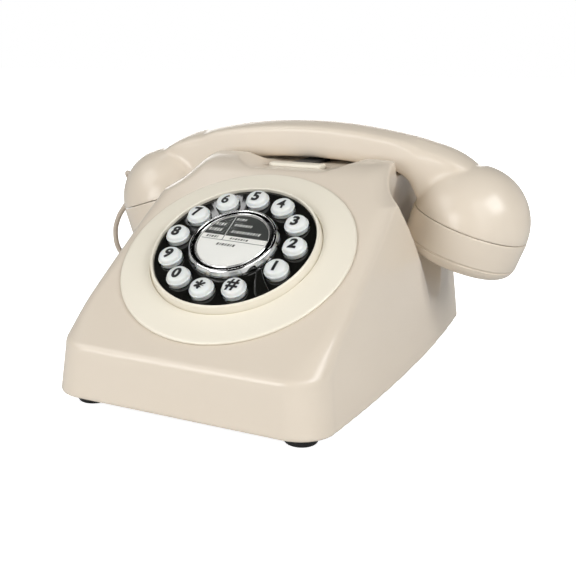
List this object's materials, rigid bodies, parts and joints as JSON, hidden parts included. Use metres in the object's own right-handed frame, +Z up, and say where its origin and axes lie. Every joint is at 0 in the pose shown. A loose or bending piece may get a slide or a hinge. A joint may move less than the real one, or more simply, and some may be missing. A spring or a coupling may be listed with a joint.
{
  "type": "push-button desk telephone",
  "caption": "Cream desk telephone: wedge case, round dial of push buttons round a redial button, handset resting across the cradle, hanging cord.",
  "frame": {"origin": "on the table plane, under the middle of the whole telephone's bounding box, hanging cord included; the middle of the case's width is at X = 14.24 mm", "axes": "+X to the right of someone facing the dial, +Y to the back, +Z up"},
  "size_m": [0.2602, 0.2272, 0.1222],
  "materials": {
    "cream_plastic": "smooth glossy cream moulding",
    "ivory_plastic": "smooth glossy ivory moulding",
    "black_gloss": "polished black",
    "key_white": "milky white, polished",
    "chrome": "mirror chrome",
    "satin_metal": "satin",
    "label_card": "printed card",
    "clear_lens": "clear acrylic",
    "black_rubber": "matt",
    "dark_plastic": "matt",
    "steel": "plated",
    "brass": "polished",
    "circuit_board": "lacquered",
    "grey_silicone": "matt",
    "copper_winding": "lacquered wire",
    "cord_vinyl": "soft vinyl"
  },
  "bodies": {
    "telephone": {"base_plate": "dark_plastic", "base_screw_1": "steel", "base_screw_2": "steel", "base_screw_3": "steel", "base_screw_4": "steel", "centre_ring": "chrome", "cord_plug": "clear_lens", "dial_faceplate": "black_gloss", "dial_surround": "ivory_plastic", "finger_stop": "black_gloss", "foot_1": "black_rubber", "foot_2": "black_rubber", "foot_3": "black_rubber", "foot_4": "black_rubber", "gong_left": "brass", "gong_left_post": "steel", "gong_right": "brass", "gong_right_post": "steel", "handset_cord": "cord_vinyl", "handset_jack": "dark_plastic", "hook_microswitch": "dark_plastic", "hook_spring": "steel", "keypad_board": "circuit_board", "keypad_housing": "dark_plastic", "keypad_mat": "grey_silicone", "line_jack": "dark_plastic", "main_board": "circuit_board", "ringer_coil": "copper_winding", "upper_case": "cream_plastic"},
    "handset": {"handset_body": "cream_plastic", "earpiece_cap": "cream_plastic", "mouthpiece_cap": "cream_plastic", "receiver_capsule": "steel", "transmitter_capsule": "steel", "handset_weight": "steel", "handset_cord_sleeve": "cream_plastic"},
    "hook": {"hook_bar": "ivory_plastic"},
    "redial": {"redial_button": "satin_metal", "redial_label": "label_card", "redial_lens": "clear_lens"},
    "ringer_slider": {"ringer_switch": "dark_plastic"},
    "bell_hammer": {"ringer_hammer": "steel"},
    "key_1": {"key_1": "key_white"},
    "key_2": {"key_2": "key_white"},
    "key_3": {"key_3": "key_white"},
    "key_4": {"key_4": "key_white"},
    "key_5": {"key_5": "key_white"},
    "key_6": {"key_6": "key_white"},
    "key_7": {"key_7": "key_white"},
    "key_8": {"key_8": "key_white"},
    "key_9": {"key_9": "key_white"},
    "key_0": {"key_0": "key_white"},
    "key_star": {"key_star": "key_white"},
    "key_hash": {"key_hash": "key_white"}
  },
  "joints": [
    {"name": "handset_lift", "type": "slide", "parent": "telephone", "child": "handset", "axis": [0, 0, 1], "range_m": [0, 0.12], "deforming": ["handset_cord"]},
    {"name": "hook_rise", "type": "slide", "parent": "telephone", "child": "hook", "axis": [0, 0, 1], "range_m": [0, 0.0045], "deforming": ["hook_spring"]},
    {"name": "key_1_press", "type": "slide", "parent": "telephone", "child": "key_1", "axis": [0, 0.5366, -0.8439], "range_m": [0, 0.002], "stiffness_N_per_m": 250},
    {"name": "key_2_press", "type": "slide", "parent": "telephone", "child": "key_2", "axis": [0, 0.5366, -0.8439], "range_m": [0, 0.002], "stiffness_N_per_m": 250},
    {"name": "key_3_press", "type": "slide", "parent": "telephone", "child": "key_3", "axis": [0, 0.5366, -0.8439], "range_m": [0, 0.002], "stiffness_N_per_m": 250},
    {"name": "key_4_press", "type": "slide", "parent": "telephone", "child": "key_4", "axis": [0, 0.5366, -0.8439], "range_m": [0, 0.002], "stiffness_N_per_m": 250},
    {"name": "key_5_press", "type": "slide", "parent": "telephone", "child": "key_5", "axis": [0, 0.5366, -0.8439], "range_m": [0, 0.002], "stiffness_N_per_m": 250},
    {"name": "key_6_press", "type": "slide", "parent": "telephone", "child": "key_6", "axis": [0, 0.5366, -0.8439], "range_m": [0, 0.002], "stiffness_N_per_m": 250},
    {"name": "key_7_press", "type": "slide", "parent": "telephone", "child": "key_7", "axis": [0, 0.5366, -0.8439], "range_m": [0, 0.002], "stiffness_N_per_m": 250},
    {"name": "key_8_press", "type": "slide", "parent": "telephone", "child": "key_8", "axis": [0, 0.5366, -0.8439], "range_m": [0, 0.002], "stiffness_N_per_m": 250},
    {"name": "key_9_press", "type": "slide", "parent": "telephone", "child": "key_9", "axis": [0, 0.5366, -0.8439], "range_m": [0, 0.002], "stiffness_N_per_m": 250},
    {"name": "key_0_press", "type": "slide", "parent": "telephone", "child": "key_0", "axis": [0, 0.5366, -0.8439], "range_m": [0, 0.002], "stiffness_N_per_m": 250},
    {"name": "key_star_press", "type": "slide", "parent": "telephone", "child": "key_star", "axis": [0, 0.5366, -0.8439], "range_m": [0, 0.002], "stiffness_N_per_m": 250},
    {"name": "key_hash_press", "type": "slide", "parent": "telephone", "child": "key_hash", "axis": [0, 0.5366, -0.8439], "range_m": [0, 0.002], "stiffness_N_per_m": 250},
    {"name": "redial_press", "type": "slide", "parent": "telephone", "child": "redial", "axis": [0, 0.5366, -0.8439], "range_m": [0, 0.0012], "stiffness_N_per_m": 400},
    {"name": "ringer_slide", "type": "slide", "parent": "telephone", "child": "ringer_slider", "axis": [1, 0, 0], "range_m": [0, 0.005]},
    {"name": "hammer_swing", "type": "hinge", "parent": "telephone", "child": "bell_hammer", "pos_m": [0.01424, 0.08143, 0.025], "axis": [0, 0, 1], "range_deg": [-6, 6]}
  ],
  "couplings": [
    {"joint": "hook_rise", "follows": "handset_lift", "ratio": 0.0375}
  ]
}
